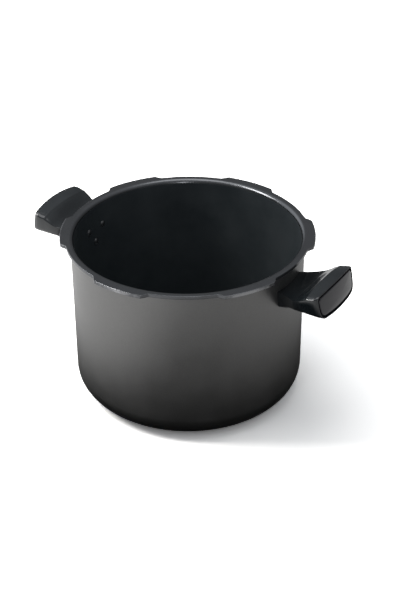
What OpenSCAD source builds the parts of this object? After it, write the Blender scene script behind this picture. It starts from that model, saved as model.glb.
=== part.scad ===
// Lower vessel of a stovetop pressure cooker: a deep drawn pot with a bayonet rim and two side
// handles, each one riveted bracket, one moulded grip, its end cap and one screw with washer and nut.
// +Z is up and the origin is the middle of the underside. The handles lie along X.

/* [Vessel] */
// Inner radius of the straight wall
inner_r = 110; // [108:0.5:112]
// Thickness of the side wall
wall_t = 3; // [2.6:0.1:3.2]
// Height from the underside to the top of the rim
height = 167; // [160:1:180]
// Thickness of the floor, base disc included
floor_t = 4.5; // [4:0.1:6]
// Radius of the rounding between floor and wall, outside
corner_r = 24.7; // [22:0.1:27]

/* [Rim] */
// Width of the flange outside the wall
flange_w = 5.3; // [4.5:0.1:6]
// Thickness of the flange
flange_t = 3.5; // [3:0.1:4]
// Radius of the rounding between wall and flange, inside
lip_r = 4.5; // [3.5:0.1:5]
// Number of bayonet lugs
lug_count = 6; // [4, 6, 8]
// Reach of a lug outside the flange
lug_reach = 5; // [4:0.1:6]
// Angle of a lug along its outer edge, degrees
lug_angle = 23.8; // [20:0.1:26]
// Angle of a lug at its foot, degrees
lug_foot_angle = 29.5; // [27:0.1:32]

/* [Base disc] */
// Radius of the steel disc let into the underside
disc_r = 80; // [70:1:82]
// Thickness of the disc
disc_t = 1.2; // [0.8:0.1:1.6]
// Radius of the ring of keying holes in the disc
disc_ring_r = 62; // [50:1:65]
// Number of keying holes in the ring
disc_hole_count = 24; // [12:1:30]

/* [Handles] */
// Drop from the rim to the lower corner of a grip's root
grip_drop = 38; // [37:0.5:42]
// Width of a grip's end face
end_w = 67.4; // [66:0.2:69]
// Bow of a grip's end face, middle against sides
end_bow = 3.3; // [2:0.1:4]
// Width of a grip's root on the wall
root_w = 37.8; // [37:0.1:39]
// Thickness of the bracket plate
plate_t = 1.8; // [1.5:0.1:2]
// Thickness of the bracket tongue
tongue_t = 2.2; // [2:0.1:2.4]

/* [Fasteners] */
// Radius of a rivet shank
rivet_r = 2; // [1.8:0.1:2.1]
// Radius of a rivet's domed head inside the pot
rivet_head_r = 3.6; // [3.2:0.1:4]
// Length of the end cap's two pegs
peg_len = 5; // [4:0.5:6]

/* [Hidden] */

// Turn of each handle about Z
left = 180;
right = 0;

gap = 0.05;
slot_gap = 0.15;
outer_r = inner_r + wall_t;
flange_r = outer_r + flange_w;
lug_r = flange_r + lug_reach;
inner_corner_r = corner_r - wall_t + 0.3;
flat_r = outer_r - corner_r;
inner_flat_r = inner_r - inner_corner_r;
edge_r = 0.5;
under_r = 1.2;
disc_hole_r = 2;

// Heights on the handle are counted from the lower corner of its root, reaches from the wall.
grip_z = height - grip_drop;
root_top = 16;
cove_s = 21.6;
cove_h = 19.2;
facet_s = 34.5;
facet_h = 32.4;
end_mid_s = 50.5;
end_mid_h = 21.35;
end_tilt = 11.26;
crown_s = 47.85;
crown_h = 34.4;
end_low = 7.8;
end_bow_r = end_w * end_w / 8 / end_bow;
crown_arch_r = 155;
end_arch_r = 150;
end_arch_top = 13.1;
end_shoulder = 9.4;
end_under = 13.9;
crown_slope = atan((crown_h - facet_h) / (crown_s - facet_s));
beard_low = -9;
cap_depth = 2.6;
cap_rim = 0.7;
cap_gap = 1.5;
cap_corner_r = 6.5;
peg_r = 1.6;
peg_v = 20;

// Rivets: two high, one low
rivet_high = 10.6;
rivet_low = -4.4;
rivet_spread = 5.94;
rivet_head_h = 1.5;
rivet_tail_r = 3;
rivet_tail_h = 1.2;

// Bracket tongue: it climbs from the plate and levels out under the nut
tongue_half = 8;
tongue_foot_h = 3.6;
tongue_h = 17;
bend_s = 30.3;
screw_s = 36.5;

// Screw stack, from below
screw_r = 2.5;
head_low = 11.1;
head_h = 2.7;
head_r = 4.5;
washer_t = 1.2;
washer_r = 4.4;
seat_h = head_low + head_h + washer_t;
nut_h = 4;
nut_flat = 4;
screw_top = tongue_h + tongue_t + nut_h + 1;

function unit(p) = p / norm(p);
function arc(centre, r, from, to, steps) =
    [for (i = [0:steps]) let(a = from + (to - from) * i / steps) centre + r * [cos(a), sin(a)]];

// Points of the arc that rounds the corner b between a and c
function fillet(a, b, c, r, steps) =
    let(ba = unit(a - b), bc = unit(c - b))
    let(half = acos(ba * bc) / 2)
    let(centre = b + unit(ba + bc) * r / sin(half))
    let(first = b + ba * r / tan(half) - centre, last = b + bc * r / tan(half) - centre)
    let(from = atan2(first.y, first.x), turn = atan2(last.y, last.x) - from)
    arc(centre, r, from, from + (turn > 180 ? turn - 360 : turn < -180 ? turn + 360 : turn), steps);

// An outline from corners given as [x, y, radius]
function rounded(corners, steps = 8) =
    let(n = len(corners), p = [for (c = corners) [c.x, c.y]])
    [for (i = [0:n - 1]) each corners[i][2] > 0
        ? fillet(p[(i + n - 1) % n], p[i], p[(i + 1) % n], corners[i][2], steps)
        : [p[i]]];

function mirrored(corners) =
    concat(corners, [for (i = [len(corners) - 1:-1:0]) [-corners[i].x, corners[i].y, corners[i][2]]]);

// Outline of the grip's end, arched on top, drawn in by inset
function end_outline(inset, corner) =
    let(half = end_w / 2 - inset)
    let(centre = [0, end_arch_top - inset - end_arch_r])
    let(reach = asin(0.72 * half / end_arch_r))
    let(right_side = rounded([
        [0, inset - end_under, 0],
        [half - 2, inset - end_under, corner],
        [half, 0.5, 16],
        [half - 0.6, end_shoulder - inset, corner * 0.75],
        concat(centre + end_arch_r * [sin(reach), cos(reach)], [0])
    ]))
    let(low_right = [for (i = [1:len(right_side) - 2]) right_side[i]])
    concat(
        low_right,
        arc(centre, end_arch_r, 90 - reach, 90 + reach, 12),
        [for (i = [len(low_right) - 1:-1:0]) [-low_right[i].x, low_right[i].y]]
    );

module on_side(turn) {
    rotate([0, 0, turn]) translate([outer_r, 0, grip_z]) children();
}

// Stands a reach-height outline upright and gives it a width across the handle
module across(width) {
    rotate([90, 0, 0]) linear_extrude(width, center = true) children();
}

// Stands a width-height outline upright and gives it a depth outwards
module outwards(depth) {
    rotate([90, 0, 90]) linear_extrude(depth) children();
}

module on_end_face() {
    translate([end_mid_s, 0, end_mid_h]) rotate([0, -end_tilt, 0]) children();
}

module vessel_profile() {
    polygon(concat(
        [[0, disc_t], [disc_r + gap, disc_t], [disc_r + gap, 0]],
        arc([flat_r, corner_r], corner_r, -90, 0, 16),
        arc([outer_r + under_r, height - flange_t - under_r], under_r, 180, 90, 4),
        arc([flange_r - edge_r, height - flange_t + edge_r], edge_r, -90, 0, 3),
        arc([flange_r - edge_r, height - edge_r], edge_r, 0, 90, 3),
        arc([inner_r + lip_r, height - lip_r], lip_r, 90, 180, 8),
        arc([inner_flat_r, floor_t + inner_corner_r], inner_corner_r, 0, -90, 16),
        [[0, floor_t]]
    ));
}

module lug() {
    foot = (flange_r - 1) * [cos(lug_foot_angle / 2), sin(lug_foot_angle / 2)];
    tip = lug_r * [cos(lug_angle / 2), sin(lug_angle / 2)];
    beyond = foot + 1.5 * (tip - foot);
    linear_extrude(flange_t)
        polygon([foot, beyond, [beyond.x, -beyond.y], [foot.x, -foot.y]]);
}

module lugs() {
    translate([0, 0, height - flange_t])
        intersection() {
            cylinder(r = lug_r, h = flange_t, $fn = 180);
            for (i = [0:lug_count - 1])
                rotate([0, 0, (i + 0.5) * 360 / lug_count]) lug();
        }
}

module along_rivet(turn, spread, h) {
    rotate([0, 0, turn + spread]) translate([0, 0, grip_z + h]) rotate([0, 90, 0]) children();
}

module rivet_holes(turn, r) {
    for (place = [[-rivet_spread, rivet_high], [rivet_spread, rivet_high], [0, rivet_low]])
        along_rivet(turn, place[0], place[1])
            translate([0, 0, inner_r - 5]) cylinder(r = r, h = 14, $fn = 48);
}

// The ring of places where the shell's metal fills the disc's holes
module keying_ring(r, h) {
    for (i = [0:disc_hole_count - 1])
        rotate([0, 0, i * 360 / disc_hole_count])
            translate([disc_ring_r, 0, 0]) cylinder(r = r, h = h, $fn = 32);
}

module pot_shell() {
    color("dimgray")
        difference() {
            union() {
                rotate_extrude($fn = 180) vessel_profile();
                lugs();
                keying_ring(disc_hole_r - gap, disc_t + 1);
            }
            rivet_holes(left, rivet_r + gap);
            rivet_holes(right, rivet_r + gap);
        }
}

module induction_base() {
    color("silver")
        difference() {
            cylinder(r = disc_r, h = disc_t, $fn = 180);
            translate([0, 0, -1]) keying_ring(disc_hole_r, disc_t + 2);
        }
}

// Outline of the riveted plate, width against height, grown by a margin
module plate_outline(margin) {
    polygon(rounded(mirrored([
        [5.2 + margin / 2, -8 - margin, 4],
        [16.4 + margin, 4, 6],
        [16.4 + margin, 14 + margin, 3.5]
    ]), 5));
}

module plate(margin) {
    intersection() {
        translate([-8, 0, 0]) outwards(12) plate_outline(margin);
        translate([-outer_r, 0, -20])
            difference() {
                cylinder(r = outer_r + plate_t + margin, h = 60, $fn = 180);
                translate([0, 0, -1]) cylinder(r = outer_r, h = 62, $fn = 180);
            }
    }
}

module tongue(margin) {
    rise = (tongue_h - tongue_foot_h) / bend_s;
    thick = tongue_t + 2 * margin;
    intersection() {
        across(40)
            polygon(rounded([
                [0.3, tongue_foot_h - margin, 0],
                [bend_s, tongue_h - margin, 6],
                [60, tongue_h - margin, 0],
                [60, tongue_h - margin + thick, 0],
                [bend_s - rise, tongue_h - margin + thick, 3],
                [0.3, tongue_foot_h - margin + thick * 1.1, 0]
            ], 5));
        union() {
            translate([screw_s / 2, 0, 10])
                cube([screw_s, 2 * (tongue_half + margin), 40], center = true);
            translate([screw_s, 0, -10]) cylinder(r = tongue_half + margin, h = 40, $fn = 64);
        }
    }
}

module bracket(turn) {
    color("gray")
        difference() {
            on_side(turn)
                difference() {
                    union() {
                        plate(0);
                        tongue(0);
                    }
                    translate([screw_s, 0, 0]) cylinder(r = screw_r + 0.2, h = 40, $fn = 48);
                }
            rivet_holes(turn, rivet_r + gap);
        }
}

module rivet(turn, spread, h) {
    dome_r = (rivet_head_r * rivet_head_r + rivet_head_h * rivet_head_h) / (2 * rivet_head_h);
    color("gainsboro") {
        along_rivet(turn, spread, h)
            translate([0, 0, inner_r - 0.2]) cylinder(r = rivet_r, h = wall_t + plate_t + 0.4, $fn = 48);
        intersection() {
            along_rivet(turn, spread, h)
                intersection() {
                    translate([0, 0, inner_r - rivet_head_h + dome_r]) sphere(r = dome_r, $fn = 64);
                    cylinder(r = rivet_head_r, h = inner_r + 1, $fn = 64);
                }
            cylinder(r = inner_r, h = height, $fn = 180);
        }
        difference() {
            along_rivet(turn, spread, h)
                translate([0, 0, outer_r]) cylinder(r = rivet_tail_r, h = plate_t + rivet_tail_h, $fn = 48);
            cylinder(r = outer_r + plate_t, h = height, $fn = 180);
        }
    }
}

// The stem from the side: its top runs on under the head
module stem_outline() {
    polygon(rounded([
        [-4, -2, 0],
        [9, 3, 30],
        [27, 7, 0],
        [38, 7.3, 0],
        [38, cove_h + 0.6, 0],
        [cove_s, cove_h, 0],
        [4, 17.6, 30],
        [-4, root_top, 0]
    ]));
}

// The head from the side, below its turned top
module head_outline() {
    polygon([[12, 3.8], [27, 7], [60, end_low], [60, 50], [12, 50]]);
}

module grip_plan_outline() {
    half_end = end_w / 2;
    polygon([for (p = rounded(mirrored([
        [root_w / 2 + 0.6, -4, 0],
        [root_w / 2 + 6.6, 9, 30],
        [half_end, 22, 18],
        [half_end + 2.8, 36.6, 40],
        [half_end + 2.8, 43.8, 8],
        [half_end, 49, 0],
        [half_end, 60, 0]
    ]))) [p.y, p.x]]);
}

module grip_front_outline() {
    polygon(rounded(mirrored([
        [20, beard_low, 0],
        [20, 4, 0],
        [end_w / 2 - 0.4, 8.2, 6.5],
        [end_w / 2 + 2.8, 20, 30],
        [end_w / 2 + 1.6, 42, 0]
    ])));
}

// The upright cylinder that bows the end, drawn in by a depth
module end_bow_face(depth) {
    on_end_face()
        translate([-end_bow_r, 0, -60]) cylinder(r = end_bow_r - depth, h = 120, $fn = 360);
}

// The head's top: its side profile turned about a line far below, so that it is arched across
module crown() {
    low = facet_h - crown_arch_r;
    translate([0, 0, low]) rotate([0, 90, 0])
        rotate_extrude($fn = 360)
            polygon([for (p = rounded([
                [13, low, 0],
                [13, cove_h - 1.7, 0],
                [cove_s - 0.7, cove_h - 0.8, 14],
                [facet_s, facet_h, 0.5],
                [60, facet_h + (60 - facet_s) * tan(crown_slope), 0],
                [60, low, 0]
            ])) [p.y - low, p.x]]);
}

// The part of the root that reaches down over the low rivet
module beard() {
    intersection() {
        across(60)
            polygon(rounded([
                [-4, beard_low, 0], [1.6, beard_low, 1.5], [5.5, -1.5, 8], [15, 8, 0], [-4, 8, 0]
            ]));
        translate([-5, 0, 0])
            outwards(24)
                polygon(rounded(mirrored([[6, beard_low, 5], [root_w / 2, -0.2, 2], [root_w / 2, 10, 0]])));
    }
}

module grip_solid() {
    intersection() {
        union() {
            across(80) stem_outline();
            intersection() {
                across(80) head_outline();
                crown();
            }
        }
        translate([0, 0, beard_low]) linear_extrude(50) grip_plan_outline();
        translate([-5, 0, 0]) outwards(65) grip_front_outline();
        end_bow_face(0);
    }
    beard();
}

module nut_channel() {
    translate([screw_s, -nut_flat - slot_gap, tongue_h + tongue_t])
        cube([20, 2 * (nut_flat + slot_gap), nut_h + 0.2]);
    translate([screw_s, 0, tongue_h + tongue_t])
        cylinder(r = (nut_flat + slot_gap) / cos(30), h = nut_h + 0.2, $fn = 6);
}

module grip(turn) {
    color("black")
        difference() {
            on_side(turn)
                difference() {
                    grip_solid();
                    plate(slot_gap);
                    tongue(slot_gap);
                    nut_channel();
                    translate([screw_s, 0, 0]) {
                        cylinder(r = screw_r + 0.3, h = screw_top + 0.8, $fn = 48);
                        cylinder(r = head_r + 0.4, h = seat_h, $fn = 64);
                    }
                    difference() {
                        on_end_face() translate([-12, 0, 0]) outwards(20)
                            polygon(end_outline(cap_rim, cap_corner_r + 1));
                        end_bow_face(cap_depth);
                    }
                    pegs(peg_r + gap);
                }
            cylinder(r = outer_r, h = height, $fn = 180);
            for (place = [[-rivet_spread, rivet_high], [rivet_spread, rivet_high], [0, rivet_low]])
                along_rivet(turn, place[0], place[1])
                    translate([0, 0, outer_r])
                        cylinder(r = rivet_tail_r + 0.3, h = plate_t + rivet_tail_h + 0.3, $fn = 48);
        }
}

// The cap's two pegs, which reach into the grip
module pegs(r) {
    for (side = [-1, 1])
        on_end_face() translate([-cap_depth - 1.4 - peg_len, side * peg_v, 0])
            rotate([0, 90, 0]) cylinder(r = r, h = peg_len + 1, $fn = 32);
}

module end_cap(turn) {
    color("#26262b")
        on_side(turn) {
            difference() {
                intersection() {
                    on_end_face() translate([-12, 0, 0]) outwards(20)
                        polygon(end_outline(cap_rim + cap_gap, cap_corner_r));
                    end_bow_face(0);
                }
                end_bow_face(cap_depth);
            }
            pegs(peg_r);
        }
}

module screw(turn) {
    color("silver")
        on_side(turn) translate([screw_s, 0, head_low])
            difference() {
                rotate_extrude($fn = 64)
                    polygon(concat(
                        [[0, 0]],
                        arc([head_r - 1.4, 1.4], 1.4, -90, 0, 5),
                        [[head_r, head_h], [screw_r, head_h], [screw_r, screw_top - head_low - 0.6],
                         [screw_r - 0.6, screw_top - head_low], [0, screw_top - head_low]]
                    ));
                for (turn = [0, 90])
                    rotate([0, 0, turn]) translate([-2.4, -0.5, -1]) cube([4.8, 1, 2.6]);
            }
}

module spring_washer(turn) {
    color("darkgray")
        on_side(turn) translate([screw_s, 0, head_low + head_h])
            difference() {
                cylinder(r = washer_r, h = washer_t, $fn = 64);
                translate([0, 0, -1]) cylinder(r = screw_r + 0.1, h = washer_t + 2, $fn = 48);
                rotate([0, 0, 60]) translate([screw_r - 1, -0.4, -1]) cube([washer_r, 0.8, washer_t + 2]);
            }
}

module nut(turn) {
    color("silver")
        on_side(turn) translate([screw_s, 0, tongue_h + tongue_t])
            difference() {
                cylinder(r = nut_flat / cos(30), h = nut_h, $fn = 6);
                translate([0, 0, -1]) cylinder(r = screw_r + gap, h = nut_h + 2, $fn = 48);
            }
}

pot_shell();
induction_base();
bracket(left);  // left_bracket
rivet(left, rivet_spread, rivet_high);  // left_rivet_upper_front
rivet(left, -rivet_spread, rivet_high);  // left_rivet_upper_rear
rivet(left, 0, rivet_low);  // left_rivet_lower
grip(left);  // left_grip
end_cap(left);  // left_end_cap
screw(left);  // left_screw
spring_washer(left);  // left_spring_washer
nut(left);  // left_nut
bracket(right);  // right_bracket
rivet(right, -rivet_spread, rivet_high);  // right_rivet_upper_front
rivet(right, rivet_spread, rivet_high);  // right_rivet_upper_rear
rivet(right, 0, rivet_low);  // right_rivet_lower
grip(right);  // right_grip
end_cap(right);  // right_end_cap
screw(right);  // right_screw
spring_washer(right);  // right_spring_washer
nut(right);  // right_nut
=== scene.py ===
import math

import bpy
from mathutils import Matrix, Vector


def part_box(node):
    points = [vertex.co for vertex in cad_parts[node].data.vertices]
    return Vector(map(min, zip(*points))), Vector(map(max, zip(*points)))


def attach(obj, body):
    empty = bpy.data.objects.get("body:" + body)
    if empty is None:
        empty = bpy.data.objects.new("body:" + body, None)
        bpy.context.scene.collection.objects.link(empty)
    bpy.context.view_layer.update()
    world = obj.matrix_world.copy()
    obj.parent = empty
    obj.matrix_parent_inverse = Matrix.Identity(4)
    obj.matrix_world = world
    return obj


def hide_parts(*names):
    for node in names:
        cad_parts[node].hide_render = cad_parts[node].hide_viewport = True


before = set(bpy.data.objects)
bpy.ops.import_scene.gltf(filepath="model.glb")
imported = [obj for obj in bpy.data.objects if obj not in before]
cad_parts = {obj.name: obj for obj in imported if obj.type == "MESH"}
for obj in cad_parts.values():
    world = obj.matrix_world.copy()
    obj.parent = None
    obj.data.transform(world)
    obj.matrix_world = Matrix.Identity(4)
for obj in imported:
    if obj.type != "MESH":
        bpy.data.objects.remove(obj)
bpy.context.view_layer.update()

# Lengths in the shape sections are millimetres; mm() turns them into the scene's metres.
MM = 0.001


def mm(*values):
    return Vector([v * MM for v in values])


# ---------------------------------------------------------------- sizes from the frame

_, SHELL_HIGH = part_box("pot_shell")
_, DISC_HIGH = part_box("induction_base")

HEIGHT = SHELL_HIGH.z / MM
LUG_R = SHELL_HIGH.y / MM
DISC_R = DISC_HIGH.x / MM
DISC_T = DISC_HIGH.z / MM

# ---------------------------------------------------------------- shape of the vessel

WALL_R = 113.0
INNER_R = 110.0
FLOOR_T = 4.5
CORNER_R = 24.7
INNER_CORNER_R = 22.0
FLANGE_R = 118.3
FLANGE_T = 3.5
LIP_R = 4.5
EDGE_R = 0.5
UNDER_R = 1.2
DISC_GAP = 0.05
DISC_SEAT_H = 0.25
DISC_SEAT_OUT = 0.35
RIM_FLAT_IN = 2.0
LIP_RIM_END = 162
LIP_INSIDE_START = 168

LUG_COUNT = 6
LUG_FIRST = 30.0
LUG_TIP_HALF = 11.9
LUG_FOOT_HALF = 14.75
LUG_SOFT = 0.13
FLANK_MARGIN = 1.6

COARSE_STEP = 2.0
FINE_STEP = 0.3

# ---------------------------------------------------------------- shape of the handles

GRIP_DROP = 38.0
GRIP_Z = HEIGHT - GRIP_DROP
GRIP_GAP = 0.04
GRIP_SHARP = 32.0
LEAST_R = 0.4
FILLET_STEPS = 6
FILLET_REACH = 0.48
END_S = 50.5
END_MID_H = 21.35
END_TILT = math.radians(11.26)
END_BOW = 3.34
SPAN = 34.0
FACET_S = 34.5

RIM_W = 0.7
RIM_R = 0.4
GROOVE_W = 2.1
GROOVE_DEPTH = 3.4
CAP_CORNER = 4.0
CAP_EDGE_R = 0.8
CAP_DOME = 0.9
CAP_SEAT = 0.05
CAP_SINK = 0.1
CAP_CENTRE_DROP = 2.0
CAP_EDGE_STEPS = 6
CAP_FACE_RINGS = 15

RIVET_HIGH = GRIP_Z + 10.6
RIVET_LOW = GRIP_Z - 4.4
RIVET_SPREAD = 5.94
RIVET_HEAD_R = 3.6
RIVET_HEAD_H = 1.5
RIVET_R = 2.0
RIVET_TAIL_R = 3.0
RIVET_TAIL = 3.0
RIVET_RINGS = 40

SCREW_S = 36.5
COUNTERBORE_R = 4.9
COUNTERBORE_TOP = 15.0
COUNTERBORE_FLARE = 0.5
COUNTERBORE_LOW = -20
COUNTERBORE_RINGS = 48

SIDES = {"right": 0.0, "left": math.pi}


# ---------------------------------------------------------------- outline helpers

def arc(centre, r, start, end, steps):
    """Points of an arc, angles in degrees."""
    points = []
    for i in range(steps + 1):
        a = math.radians(start + (end - start) * i / steps)
        points.append((centre[0] + r * math.cos(a), centre[1] + r * math.sin(a)))
    return points


def fillet(a, b, c, r, steps):
    """Points of the arc of radius r that rounds the corner b between a and c."""
    a, b, c = Vector(a), Vector(b), Vector(c)
    to_a, to_c = (a - b), (c - b)
    reach = min(to_a.length, to_c.length) * FILLET_REACH
    to_a.normalize()
    to_c.normalize()
    half = to_a.angle(to_c) / 2
    if math.pi / 2 - half < 0.002:
        return [tuple(b + to_a * (0.5 - i / steps)) for i in range(steps + 1)]
    r = min(r, reach * math.tan(half))
    centre = b + (to_a + to_c).normalized() * r / math.sin(half)
    first = b + to_a * r / math.tan(half) - centre
    last = b + to_c * r / math.tan(half) - centre
    start = math.atan2(first.y, first.x)
    turn = math.atan2(last.y, last.x) - start
    turn = (turn + math.pi) % (2 * math.pi) - math.pi
    return [
        (centre.x + r * math.cos(start + turn * i / steps),
         centre.y + r * math.sin(start + turn * i / steps))
        for i in range(steps + 1)
    ]


def between(a, b, steps):
    """Points strictly between a and b."""
    return [
        (a[0] + (b[0] - a[0]) * i / steps, a[1] + (b[1] - a[1]) * i / steps)
        for i in range(1, steps)
    ]


def blend(keys, s):
    """Smooth curve through (s, value) keys: monotone cubic steps, flat outside the ends."""
    if s <= keys[0][0]:
        return keys[0][1]
    if s >= keys[-1][0]:
        return keys[-1][1]
    n = len(keys)
    gaps = [keys[i + 1][0] - keys[i][0] for i in range(n - 1)]
    rises = [(keys[i + 1][1] - keys[i][1]) / gaps[i] for i in range(n - 1)]
    slopes = [rises[0]]
    for i in range(1, n - 1):
        same = rises[i - 1] * rises[i] > 0
        slopes.append(2 * rises[i - 1] * rises[i] / (rises[i - 1] + rises[i]) if same else 0.0)
    slopes.append(rises[-1])
    i = max(k for k in range(n - 1) if keys[k][0] <= s)
    t, g = (s - keys[i][0]) / gaps[i], gaps[i]
    return (
        (2 * t**3 - 3 * t**2 + 1) * keys[i][1]
        + (t**3 - 2 * t**2 + t) * g * slopes[i]
        + (3 * t**2 - 2 * t**3) * keys[i + 1][1]
        + (t**3 - t**2) * g * slopes[i + 1]
    )


def soft_clamp(t, soft):
    """0 to 1, straight between, with rounded corners."""
    if t <= -soft:
        return 0.0
    if t < soft:
        return (t + soft) ** 2 / (4 * soft)
    if t >= 1 + soft:
        return 1.0
    if t > 1 - soft:
        return 1 - (1 + soft - t) ** 2 / (4 * soft)
    return t


# ---------------------------------------------------------------- mesh helpers

def make_object(name, verts, faces, materials, zones=None, sharp=40.0):
    """A mesh object in metres from millimetre points, shaded smooth up to the sharp angle."""
    mesh = bpy.data.meshes.new(name)
    mesh.from_pydata([mm(*v) for v in verts], [], faces)
    for material in materials:
        mesh.materials.append(material)
    if zones:
        mesh.polygons.foreach_set("material_index", zones)
    mesh.validate()
    mesh.shade_smooth()
    mesh.set_sharp_from_angle(angle=math.radians(sharp))
    obj = bpy.data.objects.new(name, mesh)
    bpy.context.scene.collection.objects.link(obj)
    return obj


def ring_faces(rings, count, closed_first, closed_last):
    """Quads between neighbouring rings of count points, with flat caps where asked."""
    faces = []
    for k in range(rings - 1):
        for i in range(count):
            j = (i + 1) % count
            faces.append((k * count + i, k * count + j, (k + 1) * count + j, (k + 1) * count + i))
    if closed_first:
        faces.append(tuple(range(count - 1, -1, -1)))
    if closed_last:
        faces.append(tuple((rings - 1) * count + i for i in range(count)))
    return faces


def lathe(profile, steps):
    """Vertices and faces of an (r, z) profile turned about Z, closed on the axis at both ends."""
    verts, faces = [(0.0, 0.0, profile[0][1])], []
    inner = profile[1:-1]
    for i in range(steps):
        a = 2 * math.pi * i / steps
        verts += [(r * math.cos(a), r * math.sin(a), z) for r, z in inner]
    verts.append((0.0, 0.0, profile[-1][1]))
    n, last = len(inner), len(verts) - 1
    for i in range(steps):
        j = (i + 1) % steps
        a, b = 1 + i * n, 1 + j * n
        faces.append((0, b, a))
        faces += [(a + k, b + k, b + k + 1, a + k + 1) for k in range(n - 1)]
        faces.append((a + n - 1, b + n - 1, last))
    return verts, faces


def placed(verts, turn, origin, axis_x=False):
    """Turns lathe points onto a local X axis if asked, moves them, then turns them about Z."""
    out = []
    for x, y, z in verts:
        p = Vector((z, x, y)) if axis_x else Vector((x, y, z))
        p = p + Vector(origin)
        out.append(tuple(Matrix.Rotation(turn, 3, "Z") @ p))
    return out


# ---------------------------------------------------------------- node helpers

def new_material(name):
    material = bpy.data.materials.new(name)
    material.use_nodes = True
    tree = material.node_tree
    return material, tree, tree.nodes["Principled BSDF"]


def add(tree, kind, **settings):
    node = tree.nodes.new(kind)
    for key, value in settings.items():
        setattr(node, key, value)
    return node


def feed(tree, node, **inputs):
    """Sets or links node inputs by name, with underscores for spaces."""
    for key, value in inputs.items():
        socket = node.inputs[key.replace("_", " ")]
        if isinstance(value, bpy.types.NodeSocket):
            tree.links.new(value, socket)
        else:
            socket.default_value = value
    return node


def where(tree, scale=(1, 1, 1)):
    """Object coordinates, stretched."""
    coord = add(tree, "ShaderNodeTexCoord")
    mapping = add(tree, "ShaderNodeMapping")
    feed(tree, mapping, Vector=coord.outputs["Object"], Scale=scale)
    return mapping.outputs["Vector"]


def noise(tree, vector, scale, detail=4.0, roughness=0.55, distortion=0.0):
    node = add(tree, "ShaderNodeTexNoise")
    feed(tree, node, Vector=vector, Scale=scale, Detail=detail, Roughness=roughness, Distortion=distortion)
    return node.outputs["Fac"]


def remap(tree, value, low, high, to_low, to_high, kind="LINEAR"):
    node = add(tree, "ShaderNodeMapRange", interpolation_type=kind)
    feed(tree, node, Value=value, From_Min=low, From_Max=high, To_Min=to_low, To_Max=to_high)
    return node.outputs["Result"]


def mix_color(tree, factor, a, b):
    node = add(tree, "ShaderNodeMix", data_type="RGBA")
    for socket, value in ((node.inputs[0], factor), (node.inputs[6], a), (node.inputs[7], b)):
        if isinstance(value, bpy.types.NodeSocket):
            tree.links.new(value, socket)
        else:
            socket.default_value = value
    return node.outputs[2]


def maths(tree, operation, a, b=0.0, clamp=False):
    node = add(tree, "ShaderNodeMath", operation=operation, use_clamp=clamp)
    for socket, value in zip(node.inputs, (a, b)):
        if isinstance(value, bpy.types.NodeSocket):
            tree.links.new(value, socket)
        else:
            socket.default_value = value
    return node.outputs[0]


def bump(tree, height, strength, distance, normal=None):
    node = add(tree, "ShaderNodeBump")
    feed(tree, node, Height=height, Strength=strength, Distance=distance)
    if normal is not None:
        feed(tree, node, Normal=normal)
    return node.outputs["Normal"]


def radius_and_height(tree):
    """Distance from the pot's axis and height, both in metres, as two sockets."""
    coord = add(tree, "ShaderNodeTexCoord")
    split = add(tree, "ShaderNodeSeparateXYZ")
    feed(tree, split, Vector=coord.outputs["Object"])
    flat = add(tree, "ShaderNodeCombineXYZ")
    feed(tree, flat, X=split.outputs["X"], Y=split.outputs["Y"])
    length = add(tree, "ShaderNodeVectorMath", operation="LENGTH")
    feed(tree, length, Vector=flat.outputs["Vector"])
    return length.outputs["Value"], split.outputs["Z"]


def turned_lines(tree, value, scale, detail=3.0):
    """Fine lines along one value, as turning or spinning leaves them."""
    line = add(tree, "ShaderNodeCombineXYZ")
    feed(tree, line, X=value)
    return noise(tree, line.outputs["Vector"], scale, detail)


# ---------------------------------------------------------------- materials

# Noise: scale, detail, roughness and, where it has one, distortion. Bump: strength and distance.
CLOUD = (34.0, 5.0, 0.6)
GRAIN = (1500.0, 2.0, 0.5)
SPIN_SCALE = 900.0
SPIN_BUMP = (0.06, 0.00012)
GRAIN_BUMP = (0.10, 0.00010)
RUBBED_EDGE = (0.42, 0.42, 0.43, 1)

COAT_CLOUD = (26.0, 5.0, 0.6)
COAT_FLECKS = (1100.0, 2.0, 0.5)
COAT_RING_SCALE = 420.0
COAT_TONES = ((0.036, 0.0440, 0.0490, 1), (0.052, 0.0610, 0.0660, 1))
COAT_WORN = (0.06, 0.062, 0.064, 1)
COAT_METALLIC = 0.35

HAZE = (60.0, 5.0, 0.65, 0.4)
PEEL = (420.0, 2.0, 0.5)
HAIRLINES = (1.0, 3.0, 0.6, 0.6)
HAIR_STRETCH = (60, 900, 900)
PHENOLIC_IOR = 1.55

BRUSH = (1.0, 4.0, 0.6)
STAIN = (90.0, 4.0, 0.6)

DISC_RINGS = (1400.0, 5.0)
DISC_TINT = (18.0, 4.0, 0.6)
DISC_SCUFF = (1.0, 3.0, 0.6, 0.8)
DISC_SCUFF_STRETCH = (40, 700, 700)
DISC_TONES = ((0.46, 0.45, 0.43, 1), (0.60, 0.60, 0.60, 1))

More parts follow.
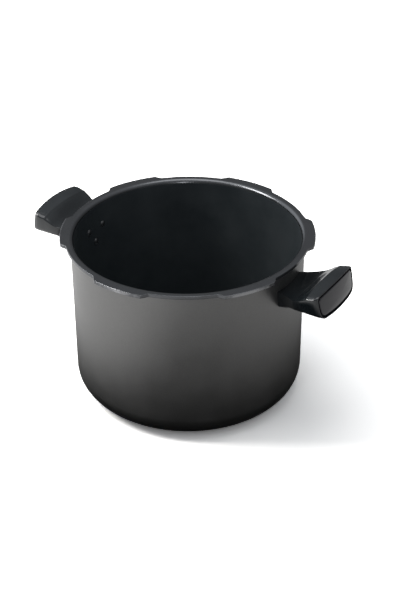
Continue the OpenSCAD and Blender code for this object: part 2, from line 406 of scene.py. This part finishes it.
# Finishes: darker and lighter colour, then the lowest and highest roughness.
OUTSIDE = ((0.150, 0.149, 0.147, 1), (0.185, 0.184, 0.181, 1), 0.36, 0.44)
RIM = ((0.092, 0.095, 0.100, 1), (0.118, 0.121, 0.127, 1), 0.20, 0.26)
UNDERSIDE = ((0.140, 0.139, 0.137, 1), (0.170, 0.169, 0.166, 1), 0.40, 0.50)
GRIP_FINISH = ((0.0055, 0.0075, 0.0090, 1), (0.0095, 0.0120, 0.0140, 1), 0.10, 0.17)
CAP_FINISH = ((0.0100, 0.0100, 0.0130, 1), (0.0160, 0.0155, 0.0195, 1), 0.12, 0.20)
RIVET_FINISH = ((0.18, 0.18, 0.18, 1), (0.26, 0.26, 0.27, 1), 0.27, 0.36)
SHEET_FINISH = ((0.36, 0.36, 0.36, 1), (0.46, 0.46, 0.46, 1), 0.28, 0.42)
PLATED_FINISH = ((0.50, 0.50, 0.49, 1), (0.64, 0.64, 0.63, 1), 0.22, 0.36)
SATIN_METALLIC = 0.92
UNDER_METALLIC = 0.90
RIM_TEXTURE = 0.10
EVEN_GRAIN = (900, 900, 900)
SHEET_GRAIN = (60, 1500, 1500)
PLATED_GRAIN = (900, 900, 120)
SOFT_EDGE = 0.12


def anodised(name, dark, light, rough_low, rough_high, metallic, texture=1.0):
    """Hard anodised aluminium: satin, faintly cloudy, with a fine grain and faint spin lines."""
    material, tree, shader = new_material(name)
    cloud = noise(tree, where(tree), *CLOUD)
    grain = noise(tree, where(tree), *GRAIN)
    radius, height = radius_and_height(tree)
    lines = turned_lines(tree, height, SPIN_SCALE)
    tint = maths(tree, "ADD", maths(tree, "MULTIPLY", cloud, 0.4), maths(tree, "MULTIPLY", grain, 0.6))
    color = mix_color(tree, remap(tree, tint, 0.3, 0.7, 0.0, 1.0), dark, light)
    rub = remap(tree, radius, (LUG_R - 1.2) * MM, (LUG_R - 0.1) * MM, 0.0, 0.5)
    rub_mask = maths(tree, "MULTIPLY", rub, remap(tree, cloud, 0.42, 0.6, 0.0, 1.0))
    color = mix_color(tree, rub_mask, color, RUBBED_EDGE)
    rough = remap(tree, cloud, 0.3, 0.7, rough_low, rough_high)
    normal = bump(tree, lines, SPIN_BUMP[0] * texture, SPIN_BUMP[1])
    normal = bump(tree, grain, GRAIN_BUMP[0] * texture, GRAIN_BUMP[1], normal)
    feed(tree, shader, Base_Color=color, Roughness=rough, Metallic=metallic, Normal=normal)
    return material


def coating():
    """The dark coating inside: smooth, slightly uneven, with faint rubbed rings on the floor."""
    material, tree, shader = new_material("inside_coating")
    radius, height = radius_and_height(tree)
    cloud = noise(tree, where(tree), *COAT_CLOUD)
    rings = turned_lines(tree, radius, COAT_RING_SCALE)
    flecks = noise(tree, where(tree), *COAT_FLECKS)
    tint = remap(tree, cloud, 0.3, 0.7, 0.0, 1.0)
    color = mix_color(tree, tint, *COAT_TONES)
    worn = remap(tree, height, 4 * MM, 12 * MM, 0.5, 0.0)
    color = mix_color(tree, maths(tree, "MULTIPLY", worn, rings), color, COAT_WORN)
    rough = remap(tree, cloud, 0.3, 0.7, 0.40, 0.52)
    normal = bump(tree, rings, 0.05, 0.00010)
    normal = bump(tree, flecks, 0.12, 0.00010, normal)
    feed(tree, shader, Base_Color=color, Roughness=rough, Metallic=COAT_METALLIC, Normal=normal)
    return material


def phenolic(name, base, light, rough_low, rough_high):
    """Glossy moulded plastic with a little orange peel and handling haze."""
    material, tree, shader = new_material(name)
    haze = noise(tree, where(tree), *HAZE)
    peel = noise(tree, where(tree), *PEEL)
    hair = noise(tree, where(tree, HAIR_STRETCH), *HAIRLINES)
    color = mix_color(tree, remap(tree, haze, 0.35, 0.7, 0.0, 1.0), base, light)
    rough = remap(tree, haze, 0.35, 0.7, rough_low, rough_high)
    rough = maths(tree, "ADD", rough, remap(tree, hair, 0.62, 0.75, 0.0, 0.06))
    normal = bump(tree, peel, 0.05, 0.00012)
    feed(tree, shader, Base_Color=color, Roughness=rough, Normal=normal)
    shader.inputs["IOR"].default_value = PHENOLIC_IOR
    return material


def steel(name, dark, light, rough_low, rough_high, scale):
    """Brushed or plated steel with grain along one direction."""
    material, tree, shader = new_material(name)
    brush = noise(tree, where(tree, scale), *BRUSH)
    stain = noise(tree, where(tree), *STAIN)
    color = mix_color(tree, remap(tree, stain, 0.35, 0.7, 0.0, 1.0), dark, light)
    rough = remap(tree, brush, 0.3, 0.7, rough_low, rough_high)
    normal = bump(tree, brush, 0.10, 0.00010)
    feed(tree, shader, Base_Color=color, Roughness=rough, Metallic=1.0, Normal=normal)
    return material


def turned_steel():
    """The base disc: steel turned in fine circles, a little heat tinted and scuffed."""
    material, tree, shader = new_material("base_disc_steel")
    radius, height = radius_and_height(tree)
    rings = turned_lines(tree, radius, *DISC_RINGS)
    tint = noise(tree, where(tree), *DISC_TINT)
    scuff = noise(tree, where(tree, DISC_SCUFF_STRETCH), *DISC_SCUFF)
    color = mix_color(tree, remap(tree, tint, 0.35, 0.7, 0.0, 1.0), *DISC_TONES)
    turned = remap(tree, rings, 0.3, 0.7, 0.22, 0.38)
    rough = maths(tree, "ADD", turned, remap(tree, scuff, 0.6, 0.72, 0.0, 0.12))
    normal = bump(tree, rings, 0.25, 0.00008)
    feed(tree, shader, Base_Color=color, Roughness=rough, Metallic=1.0, Normal=normal)
    return material


# ---------------------------------------------------------------- vessel

def vessel_profile():
    """(r, z, zone) points from the axis underneath, round the outside, to the axis inside."""
    under, outside, rim, inside = 3, 0, 1, 2
    zones = [
        (under, [(0, DISC_T), (DISC_R + DISC_GAP, DISC_T), (DISC_R + DISC_GAP, DISC_SEAT_H),
                 (DISC_R + DISC_SEAT_OUT, 0)]),
        (outside, arc((WALL_R - CORNER_R, CORNER_R), CORNER_R, -90, 0, 20)),
        (outside, between((WALL_R, CORNER_R), (WALL_R, HEIGHT - FLANGE_T - UNDER_R), 16)),
        (outside, arc((WALL_R + UNDER_R, HEIGHT - FLANGE_T - UNDER_R), UNDER_R, 180, 90, 4)),
        (rim, arc((FLANGE_R - EDGE_R, HEIGHT - FLANGE_T + EDGE_R), EDGE_R, -90, 0, 4)),
        (rim, arc((FLANGE_R - EDGE_R, HEIGHT - EDGE_R), EDGE_R, 0, 90, 4)),
        (rim, [(FLANGE_R - RIM_FLAT_IN, HEIGHT)]),
        (rim, arc((INNER_R + LIP_R, HEIGHT - LIP_R), LIP_R, 90, LIP_RIM_END, 12)),
        (inside, arc((INNER_R + LIP_R, HEIGHT - LIP_R), LIP_R, LIP_INSIDE_START, 180, 2)),
        (inside, between((INNER_R, HEIGHT - LIP_R), (INNER_R, FLOOR_T + INNER_CORNER_R), 16)),
        (inside, arc((INNER_R - INNER_CORNER_R, FLOOR_T + INNER_CORNER_R), INNER_CORNER_R, 0, -90, 20)),
        (inside, between((INNER_R - INNER_CORNER_R, FLOOR_T), (0, FLOOR_T), 8)),
        (inside, [(0, FLOOR_T)]),
    ]
    return [(r, z, zone) for zone, points in zones for r, z in points]


def lug_share(degrees):
    """1 on a lug, 0 between lugs, with the flank's slope between."""
    pitch = 360.0 / LUG_COUNT
    off = abs((degrees - LUG_FIRST + pitch / 2) % pitch - pitch / 2)
    return soft_clamp((LUG_FOOT_HALF - off) / (LUG_FOOT_HALF - LUG_TIP_HALF), LUG_SOFT)


def azimuths():
    """Angles round the pot, closer together on the flanks of the lugs."""
    angles = []
    a = 0.0
    while a < 360.0 - 1e-6:
        angles.append(a)
        pitch = 360.0 / LUG_COUNT
        off = abs((a + COARSE_STEP / 2 - LUG_FIRST + pitch / 2) % pitch - pitch / 2)
        near = LUG_TIP_HALF - FLANK_MARGIN < off < LUG_FOOT_HALF + FLANK_MARGIN
        a += FINE_STEP if near else COARSE_STEP
    return angles


def build_shell(materials):
    profile = vessel_profile()
    inner = profile[1:-1]
    angles = azimuths()
    verts, faces, zones = [(0, 0, profile[0][1])], [], []
    for degrees in angles:
        reach = (LUG_R - FLANGE_R) * lug_share(degrees)
        a = math.radians(degrees)
        for r, z, zone in inner:
            if r > FLANGE_R - EDGE_R - 0.01:
                r += reach
            verts.append((r * math.cos(a), r * math.sin(a), z))
    verts.append((0, 0, profile[-1][1]))
    n, steps, last = len(inner), len(angles), len(verts) - 1
    for i in range(steps):
        a, b = 1 + i * n, 1 + ((i + 1) % steps) * n
        faces.append((0, b, a))
        zones.append(profile[0][2])
        for k in range(n - 1):
            faces.append((a + k, b + k, b + k + 1, a + k + 1))
            zones.append(inner[k][2])
        faces.append((a + n - 1, b + n - 1, last))
        zones.append(inner[-1][2])
    shell = make_object("vessel", verts, faces, materials, zones)
    shell.modifiers.new("even_normals", "WEIGHTED_NORMAL").keep_sharp = True
    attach(shell, "root")
    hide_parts("pot_shell")
    return shell


# ---------------------------------------------------------------- grips

TOP_HALF = [(-2, 21.0), (4, 23.2), (10, 25.9), (16, 29.4), (20, 31.9), (28, 34.2), (FACET_S, 35.0),
            (42, 35.6), (45, 35.5), (48, 34.7), (END_S, 33.6)]
LOW_HALF = [(-2, 18.8), (4, 21.0), (10, 23.8), (16, 27.2), (22, 30.2), (30, 32.2), (38, 33.0), (45, 33.2),
            (48, 32.8), (END_S, 32.0)]
SIDE_BOW = [(-2, 0.3), (10, 0.6), (24, 1.0), (36, 1.4), (END_S, 1.6)]
LOW_CORNER_H = [(-2, -1.4), (4, 1.6), (10, 4.2), (18, 6.6), (27, 8.2), (38, 8.6), (END_S, 8.2)]
LOW_MID_HALF = [(-2, 6.0), (6, 9.0), (14, 13.0), (END_S, 16.0)]
LOW_MID_H = [(-2, -8.6), (2, -7.6), (6, -1.8), (10, 1.6), (18, 5.0), (27, 6.8), (38, 7.6), (END_S, 7.6)]
TOP_H = [(-2, 15.9), (4, 17.5), (10, 18.3), (16, 18.9), (20, 20.0), (24, 22.9), (28, 26.6), (31.5, 29.9),
         (FACET_S, 32.4), (END_S, 34.4)]
TOP_ARCH = [(18, 0.0), (28, 2.2), (FACET_S, 3.9), (END_S, 3.2)]
TOP_SCOOP = [(0, 0.0), (8, 0.8), (20, 1.0), (32, 0.0)]
TOP_R = [(-2, 4.0), (20, 4.0), (FACET_S, 1.6), (END_S, 1.8)]
CREASE_IN = [(22, 0.6), (FACET_S, 2.6), (END_S, 2.2)]
CREASE_DROP = [(22, 0.2), (FACET_S, 1.2), (END_S, 1.0)]
CREASE_R = 0.5
LOW_R = [(-2, 2.2), (10, 3.5), (24, 5.5), (END_S, 7.0)]
LOW_MID_R = 40.0
ROOT_FADE = 9.0
SHEAR_FROM = FACET_S


def top_height(s):
    """Height of the top's middle line: stem, hollow cove, crisp edge, then the sloping facet."""
    if s >= FACET_S:
        edge, crown = TOP_H[-2][1], TOP_H[-1][1]
        return edge + (crown - edge) * (s - FACET_S) / (END_S - FACET_S)
    return blend(TOP_H[:-1], s)


def half_section(s, inset, corner):
    """Right half of a section, from top middle to bottom middle, as (v, h)."""
    top = top_height(s) - inset
    low_h = blend(LOW_CORNER_H, s) + inset
    mid_h = blend(LOW_MID_H, s) + inset
    half = blend(TOP_HALF, s) - inset
    corners = [
        (0.0, top),
        (half - blend(CREASE_IN, s), top),
        (half, top - blend(CREASE_DROP, s)),
        (blend(LOW_HALF, s) - inset, low_h),
        (blend(LOW_MID_HALF, s), mid_h),
        (0.0, mid_h),
    ]
    top_r = max(blend(TOP_R, s) - inset, LEAST_R) + corner
    low_r = max(blend(LOW_R, s) - inset, LEAST_R)
    radii = [CREASE_R + corner, top_r, low_r, LOW_MID_R]
    arcs = [fillet(*corners[i:i + 3], radii[i], FILLET_STEPS) for i in range(4)]
    points = [corners[0]]
    for k, steps in enumerate((10, 3, 10, 5)):
        start = arcs[k - 1][-1] if k else corners[0]
        points += between(start, arcs[k][0], steps) + arcs[k]
    points += between(arcs[3][-1], corners[5], 4) + [corners[5]]
    bow, middle, reach = blend(SIDE_BOW, s), (top + low_h) / 2, (top - low_h) / 2
    arch, scoop = blend(TOP_ARCH, s), blend(TOP_SCOOP, s)
    bent = []
    for v, h in points:
        share = max(0.0, 1 - ((h - middle) / reach) ** 2)
        outer = min(1.0, (v / half) ** 6)
        upper = min(1.0, max(0.0, (h - low_h) / (top - low_h))) ** 2
        across = min(1.0, abs(v) / half)
        sink = arch * (v / SPAN) ** 2 + scoop * (1 - across**2) ** 2
        bent.append((v + bow * share * outer, h - sink * upper))
    return bent


def section(s, inset=0.0, corner=0.0):
    """Whole closed section, anticlockwise seen from the end."""
    right = half_section(s, inset, corner)
    left = [(-v, h) for v, h in reversed(right[1:-1])]
    return right + left


def grip_point(s, v, h, depth=0.0):
    """A section's point in place: wall curve at the root, tilt and bow towards the end."""
    hug = max(0.0, 1 - max(s, 0.0) / ROOT_FADE) ** 2
    wall = math.sqrt(WALL_R**2 - v**2) - WALL_R
    share = max(0.0, (s - SHEAR_FROM) / (END_S - SHEAR_FROM))
    lean = share * math.tan(END_TILT) * (h - END_MID_H)
    bow = share * END_BOW * (v / SPAN) ** 2
    return (
        WALL_R + GRIP_GAP + max(s, 0.0) + hug * wall - lean - bow + depth * math.cos(END_TILT),
        v,
        GRIP_Z + h + depth * math.sin(END_TILT),
    )


def grip_stations():
    stations = [0.0, 0.6, 1.4, 2.4, 3.6, 5.0, 6.5, 8.0, 9.5, 11.0, 12.5]
    stations += [14.0 + 1.0 * i for i in range(20)]
    stations += [33.8, 34.15, 34.35, 34.45, 34.55, 34.7, 35.0]
    stations += [36.0 + 1.0 * i for i in range(8)]
    stations += [44.0 + 0.6 * i for i in range(10)]
    stations += [50.0, 50.3]
    return stations


def grip_rings():
    """Rings of points from the wall to the floor of the end's recess."""
    rings = [[grip_point(s, v, h) for v, h in section(s)] for s in grip_stations()]
    end = END_S
    for i in range(5):
        a = math.radians(90 * i / 4)
        inset, depth = RIM_R * (1 - math.cos(a)), RIM_R * (math.sin(a) - 1)
        rings.append([grip_point(end, v, h, depth) for v, h in section(end, inset)])
    for inset, depth in (
        (RIM_W - 0.1, 0.0),
        (RIM_W - 0.02, -0.04),
        (RIM_W, -0.14),
        (RIM_W, -GROOVE_DEPTH + 0.1),
        (RIM_W + 0.1, -GROOVE_DEPTH),
    ):
        rings.append([grip_point(end, v, h, depth) for v, h in section(end, inset, CAP_CORNER)])
    return rings


def cut_counterbore(grip, name):
    """Cuts the screw's counterbore into the underside of the right-hand grip's mesh."""
    flared = COUNTERBORE_R + COUNTERBORE_FLARE
    profile = [(0, COUNTERBORE_LOW), (flared, COUNTERBORE_LOW), (flared, 5), (COUNTERBORE_R, 8.0),
               (COUNTERBORE_R, COUNTERBORE_TOP), (0, COUNTERBORE_TOP)]
    verts, faces = lathe(profile, COUNTERBORE_RINGS)
    tool_points = [(x + WALL_R + SCREW_S, y, z + GRIP_Z) for x, y, z in verts]
    tool = make_object(name, tool_points, faces, [])
    cut = grip.modifiers.new("counterbore", "BOOLEAN")
    cut.operation, cut.object, cut.solver = "DIFFERENCE", tool, "EXACT"
    evaluated = grip.evaluated_get(bpy.context.evaluated_depsgraph_get())
    mesh = bpy.data.meshes.new_from_object(evaluated)
    grip.modifiers.clear()
    old, grip.data = grip.data, mesh
    bpy.data.meshes.remove(old)
    bpy.data.objects.remove(tool)


def build_grip(side, turn, material):
    rings = grip_rings()
    count = len(rings[0])
    verts = [p for ring in rings for p in ring]
    faces = ring_faces(len(rings), count, True, True)
    grip = make_object(side + "_handle_grip", verts, faces, [material], sharp=GRIP_SHARP)
    cut_counterbore(grip, side + "_bore_tool")
    grip.data.transform(Matrix.Rotation(turn, 4, "Z"))
    grip.data.shade_smooth()
    grip.data.set_sharp_from_angle(angle=math.radians(GRIP_SHARP))
    grip.modifiers.new("even_normals", "WEIGHTED_NORMAL").keep_sharp = True
    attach(grip, "root")
    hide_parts(side + "_grip")
    return grip


def cap_rings():
    """Rings of the end cap from its back edge, over a rounded edge, to its slightly domed face."""
    end, outline = END_S, RIM_W + GROOVE_W
    back = section(end, outline, CAP_CORNER)
    rings = [[grip_point(end, v, h, CAP_SEAT - GROOVE_DEPTH) for v, h in back]]
    for i in range(CAP_EDGE_STEPS + 1):
        a = math.radians(90 * i / CAP_EDGE_STEPS)
        inset, depth = CAP_EDGE_R * (1 - math.cos(a)), CAP_EDGE_R * (math.sin(a) - 1)
        edge = section(end, outline + inset, CAP_CORNER)
        rings.append([grip_point(end, v, h, depth - CAP_SINK) for v, h in edge])
    base = section(end, outline + CAP_EDGE_R, CAP_CORNER)
    centre = END_MID_H - CAP_CENTRE_DROP
    for k in range(1, CAP_FACE_RINGS):
        share = 1 - k / CAP_FACE_RINGS
        ring = []
        for v, h in base:
            rise = CAP_DOME * (1 - share**2)
            ring.append(grip_point(end, v * share, centre + (h - centre) * share, rise - CAP_SINK))
        rings.append(ring)
    return rings


def build_cap(side, turn, material):
    rings = cap_rings()
    count = len(rings[0])
    verts = placed([p for ring in rings for p in ring], turn, (0, 0, 0))
    cap = make_object(side + "_handle_cap", verts, ring_faces(len(rings), count, True, True), [material])
    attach(cap, "root")
    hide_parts(side + "_end_cap")
    return cap


# ---------------------------------------------------------------- rivets and fasteners

def rivet_profile():
    """(r, along) profile: domed head inside the pot, shank through the wall, flat tail outside."""
    dome = (RIVET_HEAD_R**2 + RIVET_HEAD_H**2) / (2 * RIVET_HEAD_H)
    rise = [(0.0, INNER_R - RIVET_HEAD_H)]
    for i in range(1, 9):
        r = (RIVET_HEAD_R - 0.25) * i / 8
        rise.append((r, INNER_R - RIVET_HEAD_H + dome - math.sqrt(dome**2 - r**2)))
    rim = [(RIVET_HEAD_R - 0.06, INNER_R - 0.30), (RIVET_HEAD_R, INNER_R - 0.10),
           (RIVET_HEAD_R, INNER_R + 0.1)]
    shank = [(RIVET_R, INNER_R + 0.1), (RIVET_R, WALL_R + 0.02), (RIVET_TAIL_R - 0.3, WALL_R + 0.02)]
    tail = [(RIVET_TAIL_R, WALL_R + 0.3), (RIVET_TAIL_R, WALL_R + RIVET_TAIL - 0.4),
            (RIVET_TAIL_R - 0.4, WALL_R + RIVET_TAIL), (0.0, WALL_R + RIVET_TAIL)]
    return rise + rim + shank + tail


def build_rivet(node, turn, spread, height, material):
    verts, faces = lathe(rivet_profile(), RIVET_RINGS)
    points = placed(verts, turn + math.radians(spread), (0, 0, height), axis_x=True)
    rivet = make_object(node + "_dome", points, faces, [material])
    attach(rivet, "root")
    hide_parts(node)
    return rivet


def build_rivets(material):
    for side, turn in SIDES.items():
        front = -1 if side == "right" else 1
        build_rivet(side + "_rivet_upper_front", turn, front * RIVET_SPREAD, RIVET_HIGH, material)
        build_rivet(side + "_rivet_upper_rear", turn, -front * RIVET_SPREAD, RIVET_HIGH, material)
        build_rivet(side + "_rivet_lower", turn, 0.0, RIVET_LOW, material)


def dress_cad_nodes(finishes):
    """Gives every carried-over CAD node its procedural finish and softened edges."""
    for node, material in finishes.items():
        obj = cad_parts[node]
        if not obj.material_slots:
            obj.data.materials.append(material)
        for slot in obj.material_slots:
            slot.link = "OBJECT"
            slot.material = material
        soften = obj.modifiers.new("soft_edges", "BEVEL")
        soften.width = SOFT_EDGE * MM
        soften.segments = 2
        soften.limit_method = "ANGLE"
        soften.harden_normals = False


# ---------------------------------------------------------------- studio

CAMERA_AT = (0.61008, -0.96506, 0.80267)
CAMERA_RIGHT = (0.852294, 0.523037, -0.005146)
CAMERA_UP = (-0.273385, 0.453828, 0.848116)
CAMERA_AHEAD = (-0.445931, 0.721438, -0.529786)
CAMERA_LENS = 81.27
SENSOR_WIDTH = 36.0

WHITE = (1.0, 1.0, 1.0, 1.0)
LEFTWARD = (-0.852, -0.523, 0.0)
KEY_WAY = (-0.93, 0.12, 0.34)
UPWARD = (0.0, 0.0, 1.0)
SKY_TINT = (0.95, 0.985, 1.03, 1)
SKY_LOW, SKY_HIGH = 0.16, 0.62
KEY_GLOW = 1.2

FLOOR_HALF = 1.6
FLOOR_COLOR = (1.70, 1.675, 1.64, 1)
CARD_HALF = 6.0
CARD_Z = -0.0006
# The graded card's glow: a painted contact shadow, dark close round the pot, and painted key light,
# brighter to the left.
PAINTED_SHADOW_NEAR, PAINTED_SHADOW_FAR = 0.17, 0.45
CARD_TILT, CARD_WIDEN, CARD_LEAST = 5.0, 3.0, 0.5
PAINTED_LIGHT_FROM, PAINTED_LIGHT_TO = -0.20, 0.45
PAINTED_LIGHT_LOW, PAINTED_LIGHT_HIGH = 0.68, 1.4

# Area lights: name, place, size, power and colour. All are aimed at LIGHT_AIM.
LIGHT_AIM = (0.0, 0.0, 0.10)
LIGHTS = [
    ("key_left", (-1.02, -0.55, 1.30), (0.42, 0.9), 20.0, (1.0, 0.99, 0.975)),
    ("overhead", (-0.2, 0.1, 1.9), (1.2, 1.2), 10.0, (1.0, 1.0, 1.0)),
    ("front_strip", (0.95, -1.30, 0.65), (0.16, 1.1), 3.0, (0.97, 0.98, 1.0)),
]


def build_camera():
    data = bpy.data.cameras.new("camera")
    camera = bpy.data.objects.new("camera", data)
    bpy.context.scene.collection.objects.link(camera)
    data.lens = CAMERA_LENS
    data.sensor_width = SENSOR_WIDTH
    turn = Matrix((CAMERA_RIGHT, CAMERA_UP, -Vector(CAMERA_AHEAD))).transposed()
    camera.matrix_world = Matrix.Translation(CAMERA_AT) @ turn.to_4x4()
    bpy.context.scene.camera = camera


def toward(tree, vector, direction, low, high, to_low, to_high):
    """A soft ramp along one direction of a vector socket."""
    dot = add(tree, "ShaderNodeVectorMath", operation="DOT_PRODUCT")
    feed(tree, dot, Vector=vector)
    dot.inputs[1].default_value = direction
    return remap(tree, dot.outputs["Value"], low, high, to_low, to_high, "SMOOTHSTEP")


def build_world():
    """White to the camera, a soft gradient as light: dim all round, brighter above and to the left."""
    world = bpy.data.worlds.new("studio")
    bpy.context.scene.world = world
    world.use_nodes = True
    tree = world.node_tree
    tree.nodes.clear()
    ways = add(tree, "ShaderNodeTexCoord").outputs["Generated"]
    above = toward(tree, ways, UPWARD, 0.2, 1.0, SKY_LOW, SKY_HIGH)
    left = toward(tree, ways, KEY_WAY, 0.80, 1.0, 0.0, KEY_GLOW)
    strength = maths(tree, "ADD", above, left)
    lit = feed(tree, add(tree, "ShaderNodeBackground"), Strength=strength)
    lit.inputs["Color"].default_value = SKY_TINT
    seen = feed(tree, add(tree, "ShaderNodeBackground"), Color=WHITE, Strength=1.0)
    path = add(tree, "ShaderNodeLightPath")
    mix = add(tree, "ShaderNodeMixShader")
    tree.links.new(path.outputs["Is Camera Ray"], mix.inputs[0])
    tree.links.new(lit.outputs[0], mix.inputs[1])
    tree.links.new(seen.outputs[0], mix.inputs[2])
    out = add(tree, "ShaderNodeOutputWorld")
    tree.links.new(mix.outputs[0], out.inputs["Surface"])


def flat_sheet(name, half, z, material):
    mesh = bpy.data.meshes.new(name)
    corners = [(-half, -half, z), (half, -half, z), (half, half, z), (-half, half, z)]
    mesh.from_pydata(corners, [], [(0, 1, 2, 3)])
    mesh.materials.append(material)
    sheet = bpy.data.objects.new(name, mesh)
    bpy.context.scene.collection.objects.link(sheet)
    return sheet


def build_floor():
    """The pale floor, which only the camera sees."""
    material, tree, shader = new_material("pale_floor")
    feed(tree, shader, Base_Color=FLOOR_COLOR, Roughness=1.0)
    shader.inputs["Specular IOR Level"].default_value = 0.0
    floor = flat_sheet("floor", FLOOR_HALF, 0.0, material)
    floor.visible_diffuse = floor.visible_glossy = floor.visible_transmission = False
    floor.visible_shadow = False


def build_graded_card():
    """A glowing card, hidden from the camera, that the pot reflects in place of the floor. Its glow holds
    painted shade: dark close round the pot's base as a painted contact shadow, and brighter to the left as
    painted key light.
    """
    card_material, tree, shader = new_material("graded_card")
    tree.nodes.remove(shader)
    radius, _ = radius_and_height(tree)
    spot = add(tree, "ShaderNodeTexCoord").outputs["Object"]
    aside = add(tree, "ShaderNodeVectorMath", operation="DOT_PRODUCT")
    feed(tree, aside, Vector=spot)
    aside.inputs[1].default_value = LEFTWARD
    # Painted contact shadow: the glow is dark close round the pot, reaching further out on the right than
    # on the left, then fades up further out.
    tilt = maths(tree, "MULTIPLY", aside.outputs["Value"], CARD_TILT)
    tilt = maths(tree, "MAXIMUM", maths(tree, "ADD", tilt, CARD_WIDEN), CARD_LEAST)
    square = maths(tree, "MULTIPLY", aside.outputs["Value"], aside.outputs["Value"])
    widened = maths(tree, "MULTIPLY", square, tilt)
    reach = maths(tree, "ADD", radius, widened)
    painted_shadow_fade = remap(tree, reach, PAINTED_SHADOW_NEAR, PAINTED_SHADOW_FAR, 0.0, 1.0, "SMOOTHSTEP")
    # Painted key light: the glow grows brighter towards the left, where the key light falls.
    lean = toward(tree, spot, LEFTWARD, PAINTED_LIGHT_FROM, PAINTED_LIGHT_TO, PAINTED_LIGHT_LOW, PAINTED_LIGHT_HIGH)
    glow = feed(tree, add(tree, "ShaderNodeEmission"), Strength=maths(tree, "MULTIPLY", painted_shadow_fade, lean))
    glow.inputs["Color"].default_value = WHITE
    tree.links.new(glow.outputs[0], tree.nodes["Material Output"].inputs["Surface"])
    card = flat_sheet("graded_card", CARD_HALF, CARD_Z, card_material)
    card.visible_camera = False
    card.visible_shadow = False


def softbox(name, at, size, power, color):
    data = bpy.data.lights.new(name, "AREA")
    data.shape = "RECTANGLE"
    data.size, data.size_y = size
    data.energy = power
    data.color = color
    light = bpy.data.objects.new(name, data)
    light.location = at
    light.rotation_mode = "QUATERNION"
    light.rotation_quaternion = (Vector(LIGHT_AIM) - Vector(at)).to_track_quat("-Z", "Y")
    bpy.context.scene.collection.objects.link(light)


def build_lights():
    for light in LIGHTS:
        softbox(*light)


# ---------------------------------------------------------------- scene

def build_object():
    shell_finishes = [
        anodised("anodised_outside", *OUTSIDE, SATIN_METALLIC),
        anodised("anodised_rim", *RIM, SATIN_METALLIC, RIM_TEXTURE),
        coating(),
        anodised("anodised_under", *UNDERSIDE, UNDER_METALLIC),
    ]
    build_shell(shell_finishes)
    grip_material = phenolic("grip_gloss", *GRIP_FINISH)
    cap_material = phenolic("cap_gloss", *CAP_FINISH)
    for side, turn in SIDES.items():
        build_grip(side, turn, grip_material)
        build_cap(side, turn, cap_material)
    build_rivets(steel("rivet_anodised", *RIVET_FINISH, EVEN_GRAIN))
    sheet = steel("bracket_sheet", *SHEET_FINISH, SHEET_GRAIN)
    plated = steel("plated_steel", *PLATED_FINISH, PLATED_GRAIN)
    finishes = {"induction_base": turned_steel()}
    for side in SIDES:
        finishes[side + "_bracket"] = sheet
        for piece in ("_screw", "_spring_washer", "_nut"):
            finishes[side + piece] = plated
    dress_cad_nodes(finishes)


bpy.context.scene.view_settings.view_transform = "Standard"
build_camera()
build_world()
build_floor()
build_graded_card()
build_lights()
build_object()
